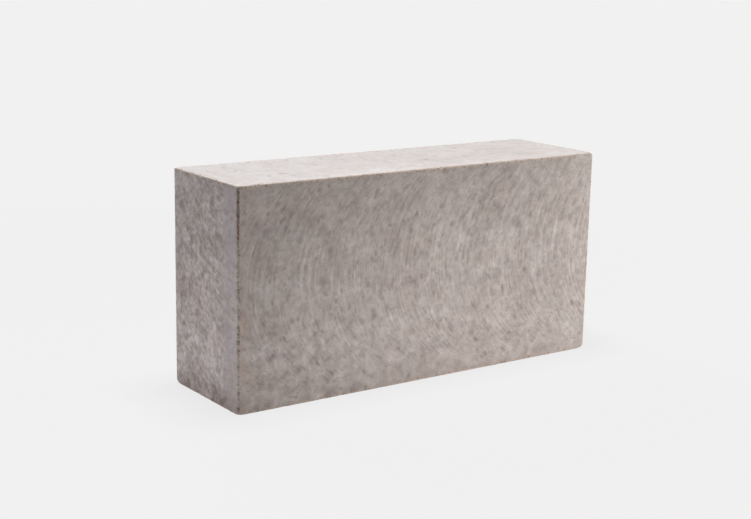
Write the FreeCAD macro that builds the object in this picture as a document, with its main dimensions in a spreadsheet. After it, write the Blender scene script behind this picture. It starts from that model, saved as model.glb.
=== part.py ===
"""A straight refractory firebrick, ground on its faces and stood on its long edge.

The brick is one fired piece: a block of the standard 230 x 114 x 65 mm format with broken
arrises, and with its four foot corners rubbed off by handling and setting down.
Millimetres, +Z up, X along the length, Y through the thickness. The origin is the middle
of the face that the brick stands on.
"""

import FreeCAD, Part
import Sketcher
import enum
import os

NODE = "firebrick"
PARTS_FOLDER = "parts"

SIZES = {
    # The format. The brick stands on edge, so its 114 mm width is its height here.
    "brick_length": 230.0,
    "brick_thickness": 65.0,
    "brick_height": 114.0,
    # Radii to which the arrises are broken: the four upright ones, those round the top
    # face and those round the foot.
    "upright_arris": 1.2,
    "top_arris": 0.7,
    "foot_arris": 0.9,
    # Each foot corner is rubbed to a patch of a ball. The patch reaches this far along the
    # two level arrises that meet there, and this far up the upright one.
    "rub_along": 6.0,
    "rub_up": 3.0,
    "rub_ball_radius": 11.0,
}

# Where the ball's centre lies so that the ball crosses the arrises at those two reaches:
# its inset from both upright faces of the corner, and its height above the foot.
RUB_SLOPE = "(sizes.rub_along / sizes.rub_up)"
RUB_BISECTOR = "((sizes.rub_along^2 + sizes.rub_up^2) / (2 * sizes.rub_up))"
BALL_ROOT = f"sqrt((2 + {RUB_SLOPE}^2) * sizes.rub_ball_radius^2 - 2 * {RUB_BISECTOR}^2)"
BALL_INSET = f"({RUB_SLOPE} * {RUB_BISECTOR} + {BALL_ROOT}) / (2 + {RUB_SLOPE}^2)"
BALL_HEIGHT = f"({RUB_SLOPE} * {BALL_INSET} + sizes.rub_up - {RUB_BISECTOR})"
# The cutter goes on outside the block by half of what the ball stands out below the foot.
OVERRUN = f"(sizes.rub_ball_radius - {BALL_HEIGHT}) / 2"

QUARTER_TURN = 90.0
FOOT_CORNERS = 4
TOLERANCE = 1e-4


class Point(enum.IntEnum):
    """A sketch's own numbers for the points of a line or arc."""
    START = 1
    END = 2
    CENTRE = 3


class Own(enum.IntEnum):
    """What every sketch has of its own. Its X axis starts at its origin."""
    X_AXIS = -1


ORIGIN = (Own.X_AXIS, Point.START)


def add_sizes(doc):
    """The sheet of driving dimensions, one named cell each."""
    sheet = doc.addObject("Spreadsheet::Sheet", "sizes")
    for row, (name, value) in enumerate(SIZES.items(), start=1):
        sheet.set(f"A{row}", name)
        sheet.set(f"B{row}", str(value))
        sheet.setAlias(f"B{row}", name)
    doc.recompute()
    return sheet


def origin_plane(body, role):
    """One of the body's own origin planes."""
    plane = next(item for item in body.Origin.OriginFeatures if item.Role == role)
    return (plane, [""])


def add_sketch(body, name, plane_role):
    """An empty sketch on one of the body's origin planes."""
    sketch = body.newObject("Sketcher::SketchObject", name)
    sketch.AttachmentSupport = [origin_plane(body, plane_role)]
    sketch.MapMode = "FlatFace"
    return sketch


def add_lines(sketch, corners, closed):
    """Straight lines from corner to corner, joined end to start. Returns their numbers."""
    ends = corners[1:] + corners[:1] if closed else corners[1:]
    lines = [
        sketch.addGeometry(Part.LineSegment(start, end), False)
        for start, end in zip(corners, ends)
    ]
    for line, following in zip(lines, lines[1:] + lines[:1] if closed else lines[1:]):
        sketch.addConstraint(Sketcher.Constraint("Coincident", line, Point.END, following, Point.START))
    return lines


def bind(sketch, name, expression, *constraint):
    """Adds a named distance or radius to the sketch and ties it to the sheet."""
    index = sketch.addConstraint(Sketcher.Constraint(*constraint))
    sketch.renameConstraint(index, name)
    sketch.setExpression(f"Constraints.{name}", expression)


def add_block(doc, body, sizes):
    """The plain block: the brick's outline seen from above, raised to its height."""
    outline = add_sketch(body, "plan_outline", "XY_Plane")
    half_x = sizes.brick_length / 2
    half_y = sizes.brick_thickness / 2
    corners = [
        FreeCAD.Vector(-half_x, -half_y, 0),
        FreeCAD.Vector(half_x, -half_y, 0),
        FreeCAD.Vector(half_x, half_y, 0),
        FreeCAD.Vector(-half_x, half_y, 0),
    ]
    front, right, back, left = add_lines(outline, corners, closed=True)
    for side in (front, back):
        outline.addConstraint(Sketcher.Constraint("Horizontal", side))
    for side in (right, left):
        outline.addConstraint(Sketcher.Constraint("Vertical", side))
    opposite_corners = (front, Point.START, back, Point.START)
    outline.addConstraint(Sketcher.Constraint("Symmetric", *opposite_corners, *ORIGIN))
    front_ends = (front, Point.START, front, Point.END)
    right_ends = (right, Point.START, right, Point.END)
    bind(outline, "length", "sizes.brick_length", "DistanceX", *front_ends, sizes.brick_length)
    bind(outline, "thickness", "sizes.brick_thickness", "DistanceY", *right_ends, sizes.brick_thickness)

    block = body.newObject("PartDesign::Pad", "block")
    block.Profile = outline
    block.setExpression("Length", "sizes.brick_height")
    doc.recompute()
    return block


def is_upright(points):
    """True for the corner points of an edge that runs straight up."""
    along = points[-1] - points[0]
    return abs(along.x) < TOLERANCE and abs(along.y) < TOLERANCE < abs(along.z)


def lies_level_at(height):
    """A test for the corner points of an edge that lies level at a height."""
    return lambda points: all(abs(point.z - height) < TOLERANCE for point in points)


def break_arrises(doc, body, base, name, belongs):
    """Rounds the edges of base that pass the test to the radius of that name in the sheet."""
    edges = [
        f"Edge{number}"
        for number, edge in enumerate(base.Shape.Edges, start=1)
        if belongs([vertex.Point for vertex in edge.Vertexes])
    ]
    arris = body.newObject("PartDesign::Fillet", name + "es")
    arris.Base = (base, edges)
    arris.setExpression("Radius", f"sizes.{name}")
    doc.recompute()
    return arris


def add_rub_section(body):
    """The cutter's section: what lies outside the ball, from below the foot up to the level
    of the ball's centre. Its construction line is the upright axis of the cut."""
    axis_from_middle = f"sizes.brick_length / 2 - {BALL_INSET}"
    plane_from_middle = f"sizes.brick_thickness / 2 - {BALL_INSET}"
    section = add_sketch(body, "rub_section", "XZ_Plane")
    section.setExpression("AttachmentOffset.Base.z", plane_from_middle)

    ball = section.evalExpression("sizes.rub_ball_radius")
    axis_x = section.evalExpression(axis_from_middle)
    height = section.evalExpression(BALL_HEIGHT)
    overrun = section.evalExpression(OVERRUN)
    centre = FreeCAD.Vector(axis_x, height, 0)
    arc_foot = FreeCAD.Vector(axis_x + (ball**2 - (height + overrun) ** 2) ** 0.5, -overrun, 0)
    arc_top = FreeCAD.Vector(axis_x + ball, height, 0)
    outer_top = FreeCAD.Vector(axis_x + ball + overrun, height, 0)
    outer_foot = FreeCAD.Vector(axis_x + ball + overrun, -overrun, 0)

    circle = Part.Circle(centre, FreeCAD.Vector(0, 0, 1), ball)
    quarter = Part.ArcOfCircle(circle, circle.parameter(arc_foot), circle.parameter(arc_top))
    arc = section.addGeometry(quarter, False)
    top, side, foot = add_lines(section, [arc_top, outer_top, outer_foot, arc_foot], closed=False)
    axis = section.addGeometry(Part.LineSegment(FreeCAD.Vector(axis_x, 0, 0), centre), True)

    section.addConstraint(Sketcher.Constraint("Coincident", arc, Point.END, top, Point.START))
    section.addConstraint(Sketcher.Constraint("Coincident", foot, Point.END, arc, Point.START))
    section.addConstraint(Sketcher.Constraint("Coincident", axis, Point.END, arc, Point.CENTRE))
    section.addConstraint(Sketcher.Constraint("Horizontal", arc, Point.CENTRE, arc, Point.END))
    for level_line in (top, foot):
        section.addConstraint(Sketcher.Constraint("Horizontal", level_line))
    for upright_line in (side, axis):
        section.addConstraint(Sketcher.Constraint("Vertical", upright_line))
    section.addConstraint(Sketcher.Constraint("PointOnObject", axis, Point.START, Own.X_AXIS))
    bind(section, "ball_radius", "sizes.rub_ball_radius", "Radius", arc, ball)
    bind(section, "axis_place", axis_from_middle, "DistanceX", *ORIGIN, axis, Point.END, axis_x)
    bind(section, "centre_height", BALL_HEIGHT, "DistanceY", *ORIGIN, axis, Point.END, height)
    bind(section, "side_overrun", OVERRUN, "DistanceX", top, Point.START, top, Point.END, overrun)
    bind(section, "foot_overrun", OVERRUN, "DistanceY", foot, Point.END, *ORIGIN, overrun)
    return section


def rub_foot_corners(doc, body, sizes, base):
    """Rubs off the four foot corners of base. The section is swept a quarter turn about an
    upright line behind one corner, and the cut is mirrored to the other three."""
    section = add_rub_section(body)
    rubbed = body.newObject("PartDesign::Groove", "rubbed_corner")
    rubbed.Profile = section
    rubbed.ReferenceAxis = (section, ["Axis0"])
    rubbed.Angle = QUARTER_TURN
    # The sweep starts beside the corner and turns outwards, over it.
    rubbed.Reversed = True
    doc.recompute()

    corners = body.newObject("PartDesign::MultiTransform", "rubbed_corners")
    corners.Originals = [rubbed]
    mirrors = []
    for name, plane_role in (("end_to_end", "YZ_Plane"), ("front_to_back", "XZ_Plane")):
        mirror = body.newObject("PartDesign::Mirrored", name)
        mirror.MirrorPlane = origin_plane(body, plane_role)
        mirrors.append(mirror)
    corners.Transformations = mirrors
    body.Tip = corners
    doc.recompute()

    taken_by_one = base.Shape.Volume - rubbed.Shape.Volume
    taken_by_all = base.Shape.Volume - corners.Shape.Volume
    if not 0 < taken_by_one < sizes.rub_along**2 * sizes.rub_up:
        raise RuntimeError("the cut at the foot corner turns away from the corner")
    if round(taken_by_all / taken_by_one) != FOOT_CORNERS:
        raise RuntimeError("a foot corner is left unrubbed")


def build_brick(doc, sizes):
    """The whole brick as one body."""
    body = doc.addObject("PartDesign::Body", NODE)
    body.Label = NODE
    block = add_block(doc, body, sizes)
    uprights = break_arrises(doc, body, block, "upright_arris", is_upright)
    top = break_arrises(doc, body, uprights, "top_arris", lies_level_at(sizes.brick_height))
    foot = break_arrises(doc, body, top, "foot_arris", lies_level_at(0.0))
    rub_foot_corners(doc, body, sizes, foot)
    return body


def check(doc, body):
    """Stops if any object of the document failed or the brick isn't one sound solid."""
    for item in doc.Objects:
        failed = {"Invalid", "Error"} & set(item.State)
        if failed:
            raise RuntimeError(f"{item.Label} is {sorted(failed)}")
    shape = body.Shape
    if shape.isNull() or not shape.isValid() or len(shape.Solids) != 1:
        raise RuntimeError(f"{body.Label} isn't one valid solid")


def main():
    doc = FreeCAD.newDocument(NODE)
    sizes = add_sizes(doc)
    body = build_brick(doc, sizes)
    check(doc, body)
    os.makedirs(PARTS_FOLDER, exist_ok=True)
    body.Shape.exportStep(os.path.join(PARTS_FOLDER, body.Label + ".step"))


main()
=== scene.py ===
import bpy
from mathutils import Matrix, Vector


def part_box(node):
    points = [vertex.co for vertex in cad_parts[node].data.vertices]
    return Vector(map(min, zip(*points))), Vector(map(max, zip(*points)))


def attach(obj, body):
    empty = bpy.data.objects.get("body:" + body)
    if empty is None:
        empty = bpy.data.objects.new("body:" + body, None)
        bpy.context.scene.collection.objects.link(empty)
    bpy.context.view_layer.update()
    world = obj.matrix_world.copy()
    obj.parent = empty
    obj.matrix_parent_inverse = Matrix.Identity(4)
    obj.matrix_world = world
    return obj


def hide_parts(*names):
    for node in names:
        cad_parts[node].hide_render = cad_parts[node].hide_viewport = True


bl_info = {
    "name": "Ground Firebrick",
    "version": (1, 0, 0),
    "blender": (4, 5, 0),
    "location": "View3D > Sidebar > Firebrick",
    "description": "Makes a ground refractory brick with its grinding marks and its studio",
    "category": "Mesh",
}

from math import pi, radians

import bpy
import numpy as np
from bpy.props import FloatProperty, FloatVectorProperty, IntProperty, PointerProperty
from mathutils import Euler, Matrix

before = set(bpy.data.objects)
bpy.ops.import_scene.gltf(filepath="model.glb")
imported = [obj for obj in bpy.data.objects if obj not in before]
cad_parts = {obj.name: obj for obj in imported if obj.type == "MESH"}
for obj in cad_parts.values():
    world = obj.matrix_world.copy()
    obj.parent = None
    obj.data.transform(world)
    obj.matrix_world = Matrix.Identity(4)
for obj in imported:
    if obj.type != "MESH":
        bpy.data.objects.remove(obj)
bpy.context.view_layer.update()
NODE = "firebrick"
BRICK_LOW, BRICK_HIGH = (np.array(corner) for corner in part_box(NODE))

MILLIMETRE = 0.001
# The kinds of ground face, and for each kind the axis that it faces along, the axis that the
# wheel was fed along and the axis across the feed.
BED, END, EDGE = 0, 1, 2
FACE_AXES = {BED: (1, 0, 2), END: (0, 2, 1), EDGE: (2, 0, 1)}
# The sides of the block, as (axis, which end of it), and the kind of each.
FRONT, BACK, LEFT, RIGHT, FOOT, TOP = (1, 0), (1, 1), (0, 0), (0, 1), (2, 0), (2, 1)
KIND_OF_SIDE = {FRONT: BED, BACK: BED, LEFT: END, RIGHT: END, FOOT: EDGE, TOP: EDGE}


def length(name, description, millimetres):
    """A length that the user can change, stated in millimetres here and kept in metres."""
    return FloatProperty(
        name=name,
        description=description,
        default=millimetres * MILLIMETRE,
        min=0.0,
        unit="LENGTH",
        subtype="DISTANCE",
        precision=5,
    )


def colour(name, description, red, green, blue):
    """A colour that the user can change, stated as 8-bit display values and kept linear."""
    return FloatVectorProperty(
        name=name,
        description=description,
        default=tuple(to_linear(level / 255) for level in (red, green, blue)),
        size=3,
        min=0.0,
        max=1.0,
        subtype="COLOR",
    )


def power(name, description, watts):
    """A lamp's power that the user can change."""
    return FloatProperty(name=name, description=description, default=watts, min=0.0, unit="POWER")


def share(name, description, value):
    """A plain number from 0 to 1 that the user can change."""
    return FloatProperty(
        name=name, description=description, default=value, min=0.0, max=1.0, subtype="FACTOR"
    )


def angle(name, description, degrees):
    """An angle that the user can change, stated in degrees here and kept in radians."""
    return FloatProperty(name=name, description=description, default=radians(degrees), subtype="ANGLE")


def to_linear(level):
    """A display level from 0 to 1 as linear light."""
    return level / 12.92 if level <= 0.04045 else ((level + 0.055) / 1.055) ** 2.4


class BrickShape(bpy.types.PropertyGroup):
    """Sizes of the block, of its broken arrises and of what grinding and handling left on it."""

    pitch_along: length("Pitch Along", "Distance between mesh lines along the brick", 0.78)
    pitch_through: length("Pitch Through", "Distance between mesh lines through the thickness", 1.6)
    pitch_up: length("Pitch Up", "Distance between mesh lines up the height", 1.25)
    upright_arris: length("Upright Arris", "Radius of the four upright arrises", 1.2)
    top_arris: length("Top Arris", "Radius of the arrises round the top face", 0.7)
    foot_arris: length("Foot Arris", "Radius of the arrises round the foot", 0.9)
    rub_along: length("Rub Along", "How far a foot corner is rubbed off along the level arrises", 5.4)
    rub_up: length("Rub Up", "How far a foot corner is rubbed off up its upright arris", 3.3)
    sharp_along: length("Sharp Corner Along", "As Rub Along, for the left foot corner in front", 4.5)
    sharp_up: length("Sharp Corner Up", "As Rub Up, for the left foot corner in front", 2.8)
    upper_rub: length("Upper Rub", "How far the right top corner in front is rubbed off", 3.0)
    rub_power: FloatProperty(
        name="Rub Power",
        description="Power of the curve of a rubbed corner: 2 is an ellipse, and more is squarer",
        default=2.5,
        min=2.0,
    )
    wheel_radius: length("Wheel Radius", "Radius of the wheel's marks on the beds and edges", 62.5)
    wheel_height: length("Wheel Height", "Height of the wheel's centre line on the beds", 62.4)
    end_wheel_radius: length("End Wheel Radius", "Radius of the wheel's marks on the ends", 100.0)
    end_wheel_offset: length(
        "End Wheel Offset", "How far beside the middle of an end the wheel's centre ran", 45.5
    )
    groove_depth: length("Groove Depth", "Depth of the coarse grinding grooves", 0.07)
    ragged_depth: length("Ragged Depth", "How far the arrises crumble between the chips", 0.22)
    chip_spacing: length("Chip Spacing", "Mean distance between the chips along an arris", 11.0)
    pit_spacing: length("Pit Spacing", "Mean distance between the pits on a face", 13.0)
    seed: IntProperty(name="Seed", description="Start of the random chips and pits", default=7, min=0)


class BrickFinish(bpy.types.PropertyGroup):
    """Colours of the fired and ground body."""

    body: colour("Body", "Mean colour of the ground face", 179, 170, 164)
    dark: colour("Dark Grain", "Colour of the dark mottle and grains", 144, 132, 127)
    pale: colour("Pale Bloom", "Colour of the pale clouds on the ground face", 211, 203, 198)
    streak: colour("Streak", "Colour of the pale lines that the wheel left", 222, 210, 192)
    cool: colour("Cool Bloom", "Colour of the smooth bluish bloom on the ends", 172, 168, 175)
    fleck: colour("Fleck", "Colour of the small pale grains", 226, 216, 203)
    rust: colour("Rust", "Colour of the small brownish grains", 168, 142, 122)
    arris: colour("Arris", "Colour of the worn arrises", 204, 183, 166)
    # Chips, pits, pinholes, crumbled arrises and the knocked arris's seam are darkened towards this
    # colour, chips and pits the more so the deeper they are.
    darkening: colour("Darkening", "Colour of the chips and pits", 80, 55, 41)


class Studio(bpy.types.PropertyGroup):
    """Floor, lamps and camera."""

    background: colour("Background", "Colour of the floor and of what is behind it", 242, 241, 241)
    floor_size: length("Floor Size", "Side of the square floor", 16000.0)
    shadow_share: share(
        "Shadow Share", "How much of the floor's brightness comes from the lamps", 0.085
    )
    ambient: FloatProperty(
        name="Ambient", description="Strength of the light from all round", default=0.05, min=0.0
    )
    top_power: power("Top Lamp", "Power of the lamp overhead", 4.9)
    back_power: power("Back Lamp", "Power of the lamp behind", 4.85)
    right_power: power("Right Lamp", "Power of the small low lamp at the right in front", 0.444)
    front_power: power("Front Lamp", "Power of the small low lamp in front", 0.109)
    left_power: power("Left Lamp", "Power of the small low lamp at the left", 0.091)
    lens: FloatProperty(
        name="Lens", description="Focal length on a sensor 36 mm wide", default=68.24, unit="CAMERA"
    )
    azimuth: angle("Azimuth", "Camera's turn round the brick", -35.492)
    elevation: angle("Elevation", "Camera's angle above level", 12.671)
    roll: angle("Roll", "Camera's lean about its own line of sight", 1.104)
    camera_place: FloatVectorProperty(
        name="Camera Place",
        description="Where the camera stands",
        default=(-0.44587, -0.60969, 0.22881),
        subtype="TRANSLATION",
        unit="LENGTH",
    )


# The block's mesh

# How far the mesh lines near an arris are from it, in millimetres.
RIM_LINES = (0.0, 0.3, 0.65, 1.1, 1.7, 2.5)
# The steepest lean of the wheel's arcs that is told apart, as a sine.
STEEPEST_LEAN = 0.995
# The coarse grooves: width in millimetres and amount, how many times as long as wide they are,
# the mesh steps to a width at which they start to show and show in full, and how far apart in
# the noise the widths, the kinds of face and the opposite sides lie.
GROOVES = ((6.0, 0.8), (3.4, 1.0), (2.3, 0.7))
GROOVE_LENGTH = 7
GROOVE_CARRIED = (2.0, 3.2)
GROOVE_GAIN = 1.6
WIDTH_OFFSET = 17.3
KIND_OFFSET = 31.7
SIDE_OFFSET = 5.0
# How far in from an arris the crumbling reaches, the lengths of its runs, of its bites and of
# its small bites, and how much the small bites add.
RIM_REACH = 0.95 * MILLIMETRE
RUN_LENGTH = 9 * MILLIMETRE
BITE_LENGTH = 1.5 * MILLIMETRE
SMALL_BITE_LENGTH = 0.8 * MILLIMETRE
SMALL_BITES = 0.6
# How far from the top and the foot an upright arris starts, and is reached in full.
UPRIGHT_STARTS = 0.2 * MILLIMETRE
UPRIGHT_REACHED = 1.5 * MILLIMETRE
# The knocked arris: how far below the top its crumbled upper end starts to fade and is over, and
# the share of it that is left below.
UPPER_END_FADES = 24 * MILLIMETRE
UPPER_END_OVER = 34 * MILLIMETRE
KNOCKED_BELOW = 0.2
# How strongly the arrises crumble, and how closely the bites in them stand.
CRUMBLING = {"everywhere": 0.4, "upright": 0.1, "runs": 0.5, "knocked": 0.8}
BITES = {"everywhere": 0.2, "knocked": 0.8}
# Least and greatest size of the chips, in millimetres: the radius of the ball that scoops one
# out and how deep it bites. How far the ball may lean to one side of the arris.
CHIP_RADIUS = (1.3, 3.2)
CHIP_BITE = (0.4, 0.85)
CHIP_LEAN = 0.45
# Least and greatest size of the pits, in millimetres: half their length along the wheel's arc,
# half their width, and their depth. How far in from the sides of a face they start, as a share.
PIT_HALF_LENGTH = (0.9, 2.2)
PIT_HALF_WIDTH = (0.75, 1.1)
PIT_DEPTH = (0.06, 0.22)
PIT_MARGIN = 0.01
# How squarely a point faces out of a face for a pit to reach it, as a cosine.
ON_FACE = 0.9
# How deep a chip and a pit are where they are darkest.
DARKEST_CHIP = 0.35 * MILLIMETRE
DARKEST_PIT = 0.15 * MILLIMETRE


class SeededNoise:
    """Smooth noise in space, from -1 to 1, that swings about once in each unit of length."""

    TABLE = 256

    def __init__(self, rng):
        """Draws the order and the levels that the noise goes by."""
        self.order = rng.permutation(self.TABLE)
        self.level = rng.uniform(-1.0, 1.0, self.TABLE)

    def __call__(self, x, y, z):
        """The noise at the places."""
        points = np.stack(np.broadcast_arrays(x, y, z), axis=-1)
        cell = np.floor(points).astype(int)
        part = points - cell
        ease = part * part * (3 - 2 * part)
        total = np.zeros(points.shape[:-1])
        for corner in np.ndindex(2, 2, 2):
            index = (cell + corner) % self.TABLE
            hashed = self.order[index[..., 0]]
            hashed = self.order[(hashed + index[..., 1]) % self.TABLE]
            hashed = self.order[(hashed + index[..., 2]) % self.TABLE]
            weight = np.prod(np.where(corner, ease, 1 - ease), axis=-1)
            total += weight * self.level[hashed]
        return total


def smooth_step(low, high, value):
    """0 below low, 1 above high, and a smooth rise between them."""
    t = np.clip((value - low) / (high - low), 0.0, 1.0)
    return t * t * (3 - 2 * t)


def mesh_lines(low, high, pitch):
    """Places of the mesh lines from low to high: close together at both arrises, then even."""
    rim = np.array(RIM_LINES) * MILLIMETRE
    inner_low, inner_high = low + rim[-1], high - rim[-1]
    count = int(round((inner_high - inner_low) / pitch))
    inner = np.linspace(inner_low, inner_high, count + 1)
    return np.concatenate([low + rim[:-1], inner, high - rim[-2::-1]])


def block_lattice(lines):
    """Points and four-sided faces of a closed block whose mesh lines are given for each axis.
    Returns the points, the faces and the side that each face is on."""
    counts = [len(line) for line in lines]
    number_of = {}
    points, faces, sides = [], [], []
    for side in KIND_OF_SIDE:
        axis, far = side
        first, second = (axis + 1) % 3, (axis + 2) % 3
        grid = np.zeros((counts[first], counts[second], 3), int)
        grid[..., axis] = (counts[axis] - 1) * far
        grid[..., first] = np.arange(counts[first])[:, None]
        grid[..., second] = np.arange(counts[second])[None, :]
        numbers = np.empty(grid.shape[:2], int)
        for place in np.ndindex(grid.shape[:2]):
            key = tuple(grid[place])
            if key not in number_of:
                number_of[key] = len(points)
                points.append([lines[k][key[k]] for k in range(3)])
            numbers[place] = number_of[key]
        square = [numbers[:-1, :-1], numbers[1:, :-1], numbers[1:, 1:], numbers[:-1, 1:]]
        if not far:
            square.reverse()
        faces.append(np.stack(square, axis=-1).reshape(-1, 4))
        sides += [side] * len(faces[-1])
    return np.array(points), np.concatenate(faces), sides


def unit(vectors):
    """The vectors at length 1."""
    return vectors / np.maximum(np.linalg.norm(vectors, axis=-1, keepdims=True), 1e-12)


def round_plan(points, half, depth, radius):
    """Rounds the upright arrises of rings that lie depth inside the block's outline."""
    left_over = np.maximum(radius - depth, 0.0)[:, None]
    middle = half[:2] - depth[:, None] - left_over
    beyond = np.abs(points[:, :2]) - middle
    corner = (beyond > 0).all(axis=1) & (left_over[:, 0] > 0)
    turned = middle[corner] + unit(beyond[corner]) * left_over[corner]
    points[corner, :2] = np.sign(points[corner, :2]) * turned
    return points


def round_arrises(points, shape):
    """Moves the points of a sharp block on to the block with broken arrises and rubbed corners.
    The block's middle is on the Z axis and its foot is at zero."""
    half = (BRICK_HIGH - BRICK_LOW) / 2
    height = BRICK_HIGH[2]
    points = points.copy()
    inside = (half[:2] - np.abs(points[:, :2])).min(axis=1)
    new_inside = inside.copy()
    for radius, face, inward in ((shape.top_arris, height, -1), (shape.foot_arris, 0.0, 1)):
        below = (points[:, 2] - face) * inward
        at_rim = (below < radius) & (inside < radius)
        profile = unit(np.stack([radius - inside[at_rim], radius - below[at_rim]], axis=1)) * radius
        new_inside[at_rim] = radius - profile[:, 0]
        points[at_rim, 2] = face + inward * (radius - profile[:, 1])
    moved = new_inside != inside
    points[moved, :2] *= (half[:2] - new_inside[moved, None]) / (half[:2] - inside[moved, None])
    points = round_plan(points, half, new_inside, shape.upright_arris)
    return rub_corners(points, half, shape)


def rub_corners(points, half, shape):
    """Draws the points at the four foot corners, and at the right top corner in front, on to
    squarish eggs that touch the three broken arrises where the rub ends. The left foot corner
    in front is the sharpest."""
    left = points[:, 0] < 0
    in_front = points[:, 1] < 0
    low = points[:, 2] < half[2]
    for chosen, facing, along, up in (
        (low & left & in_front, -1, shape.sharp_along, shape.sharp_up),
        (low & ~(left & in_front), -1, shape.rub_along, shape.rub_up),
        (~low & ~left & in_front, 1, shape.upper_rub, shape.upper_rub),
    ):
        reach = np.array([along, along, up])
        outward = np.sign(points * [1, 1, 0]) + [0, 0, facing]
        centre = [0, 0, half[2]] + outward * (half - reach)
        away = (points - centre) / reach
        distance = np.linalg.norm(away, ord=shape.rub_power, axis=1)
        touching = 2 ** (1 / shape.rub_power) * (1 - (1 - 0.5**0.5) * shape.upright_arris / along)
        rubbed = chosen & (away * outward > 0).all(axis=1) & (distance > touching)
        points[rubbed] = (centre + away / distance[:, None] * touching * reach)[rubbed]
    return points


def face_normals(points, faces):
    """Area-weighted normals of the four-sided faces."""
    corners = points[faces]
    return np.cross(corners[:, 2] - corners[:, 0], corners[:, 3] - corners[:, 1])


def point_normals(points, faces):
    """Unit normals of the points, from the faces round each."""
    normals = np.zeros_like(points)
    of_faces = face_normals(points, faces)
    for corner in range(4):
        np.add.at(normals, faces[:, corner], of_faces)
    return unit(normals)


def wheel_arcs(along, across, level, radius):
    """Reads a place on a ground face as the arc that the wheel cut through it.
    Returns the arc's place along the feed, the distance run along the arc, and its steepness:
    how far the arc goes along the feed for each step across."""
    lean = np.clip((across - level) / radius, -STEEPEST_LEAN, STEEPEST_LEAN)
    reach = np.sqrt(1 - lean**2)
    return along + radius * reach, radius * np.arcsin(lean), np.abs(lean) / reach


def wheel_on(kind, shape):
    """Where the middle of the wheel ran across the feed on one kind of face, and the radius of
    its marks there."""
    return {
        BED: (shape.wheel_height, shape.wheel_radius),
        END: (shape.end_wheel_offset, shape.end_wheel_radius),
        EDGE: (0.0, shape.wheel_radius),
    }[kind]


def face_arcs(points, kind, shape):
    """The arcs on one kind of face, the mesh pitch along the feed and the pitch across it."""
    _, feed_axis, cross_axis = FACE_AXES[kind]
    across = points[:, cross_axis]
    if kind == END:
        across = across * np.sign(points[:, 0])
    pitches = (shape.pitch_along, shape.pitch_through, shape.pitch_up)
    arcs = wheel_arcs(points[:, feed_axis], across, *wheel_on(kind, shape))
    return arcs, pitches[feed_axis], pitches[cross_axis]


def arc_direction(place, kind, facing, shape):
    """Unit vector along the wheel's arc at a place on a face. Facing is 1 where the face looks
    along its axis, and -1 where it looks the other way."""
    _, feed_axis, cross_axis = FACE_AXES[kind]
    turn = facing if kind == END else 1
    level, radius = wheel_on(kind, shape)
    lean = np.clip((place[cross_axis] * turn - level) / radius, -STEEPEST_LEAN, STEEPEST_LEAN)
    direction = np.zeros(3)
    direction[feed_axis] = lean
    direction[cross_axis] = np.sqrt(1 - lean**2) * turn
    return unit(direction)


def groove_height(arcs, pitch_along, pitch_across, noise, offset):
    """Height of the coarse grooves, from 0 to 1. Widths that the mesh can't carry fade out."""
    place, run, steepness = arcs
    step = np.maximum(pitch_along, steepness * pitch_across)
    height = np.zeros_like(place)
    weight = 0.0
    for width, amount in GROOVES:
        width *= MILLIMETRE
        carried = smooth_step(*GROOVE_CARRIED, width / step)
        length_scale = width * GROOVE_LENGTH
        height += amount * carried * noise(place / width * 2, run / length_scale, offset)
        weight += amount
        offset += WIDTH_OFFSET
    return 0.5 + 0.5 * np.clip(height / weight * GROOVE_GAIN, -1, 1)


def arris_distance(points):
    """Distance of each point from the nearest sharp arris of the block."""
    gaps = np.concatenate([points - BRICK_LOW, BRICK_HIGH - points], axis=1)
    nearest_two = np.partition(np.abs(gaps), 1, axis=1)[:, :2]
    return np.hypot(nearest_two[:, 0], nearest_two[:, 1])


def crumbling(points, noise):
    """How far the arrises have crumbled, from 0 to about 1: in short bites, more on the upright
    arrises, and most on the left one in front, above all at its upper end."""
    x, y, z = points.T
    height = BRICK_HIGH[2]
    upright = smooth_step(UPRIGHT_STARTS, UPRIGHT_REACHED, np.minimum(z, height - z))
    upper_end = smooth_step(height - UPPER_END_OVER, height - UPPER_END_FADES, z)
    knocked = upright * (x < 0) * (y < 0) * (KNOCKED_BELOW + (1 - KNOCKED_BELOW) * upper_end)
    runs = noise(*(points / RUN_LENGTH).T)
    bites = noise(*(points / BITE_LENGTH).T)
    bites = bites + SMALL_BITES * noise(*(points / SMALL_BITE_LENGTH).T)
    strength = CRUMBLING["everywhere"] + CRUMBLING["upright"] * upright
    strength = strength + CRUMBLING["runs"] * runs + CRUMBLING["knocked"] * knocked
    bitten = BITES["everywhere"] + BITES["knocked"] * knocked + bites
    return np.clip(strength, 0, None) * np.clip(bitten, 0, None)


def chip_places(shape, rng):
    """Centres and radii of the balls that scoop the chips out of the arrises."""
    half = (BRICK_HIGH - BRICK_LOW) / 2
    middle = (BRICK_HIGH + BRICK_LOW) / 2
    chips = []
    for axis in range(3):
        first, second = (axis + 1) % 3, (axis + 2) % 3
        for one in (-1, 1):
            for other in (-1, 1):
                outward = np.zeros(3)
                outward[first], outward[second] = one, other
                count = rng.poisson(2 * half[axis] / shape.chip_spacing)
                for along in rng.uniform(-1, 1, count):
                    radius = rng.uniform(*CHIP_RADIUS) * MILLIMETRE
                    bite = rng.uniform(*CHIP_BITE) * MILLIMETRE
                    lean = outward + rng.uniform(-CHIP_LEAN, CHIP_LEAN, 3) * (outward != 0)
                    place = middle + outward * half
                    place[axis] = middle[axis] + along * half[axis]
                    chips.append((place + unit(lean) * (radius - bite), radius))
    return chips


def scoop_chips(points, chips):
    """Pushes the points that lie in a chip's ball on to its surface. Returns how deep each
    point was scooped."""
    depth = np.zeros(len(points))
    for centre, radius in chips:
        near = np.flatnonzero(np.abs(points - centre).max(axis=1) < radius)
        away = points[near] - centre
        distance = np.linalg.norm(away, axis=1)
        inside = distance < radius
        near, away, distance = near[inside], away[inside], distance[inside]
        points[near] = centre + away / distance[:, None] * radius
        depth[near] += radius - distance
    return depth


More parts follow.
